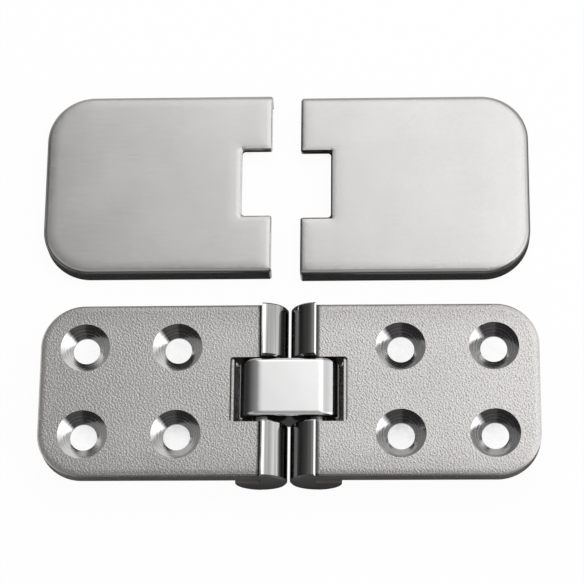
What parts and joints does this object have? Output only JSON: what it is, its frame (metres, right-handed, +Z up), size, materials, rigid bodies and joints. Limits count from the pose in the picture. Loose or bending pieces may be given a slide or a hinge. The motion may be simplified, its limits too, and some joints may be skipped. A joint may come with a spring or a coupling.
{
  "type": "folding hinge",
  "caption": "Double-pivot folding hinge with countersunk cast leaves, a polished link between their barrels, and notched covers for the leaves lying beside it.",
  "frame": {"origin": "middle of the set's footprint, on the surface it lies on", "axes": "+X along the open hinge from the left leaf to the right leaf, +Y from the hinge towards the loose covers and along the pivots, +Z up out of the leaves' faces"},
  "size_m": [0.1014, 0.0846, 0.0106],
  "materials": {
    "cast_leaf": "plated casting with a fine grained face and polished barrels",
    "pivot_pin": "ground steel",
    "polished_link": "mirror polished",
    "satin_cover": "satin brushed"
  },
  "bodies": {
    "left_leaf": {"left_leaf": "cast_leaf", "left_pin": "pivot_pin", "left_cover": "satin_cover", "right_cover": "satin_cover"},
    "link": {"link": "polished_link"},
    "right_leaf": {"right_leaf": "cast_leaf", "right_pin": "pivot_pin"}
  },
  "joints": [
    {"name": "left_pivot", "type": "hinge", "parent": "left_leaf", "child": "link", "pos_m": [-0.00487, -0.02392, 0.0053], "axis": [0, -1, 0], "range_deg": [0, 90]},
    {"name": "right_pivot", "type": "hinge", "parent": "link", "child": "right_leaf", "pos_m": [0.00622, -0.02392, 0.0053], "axis": [0, -1, 0], "range_deg": [0, 90]}
  ]
}
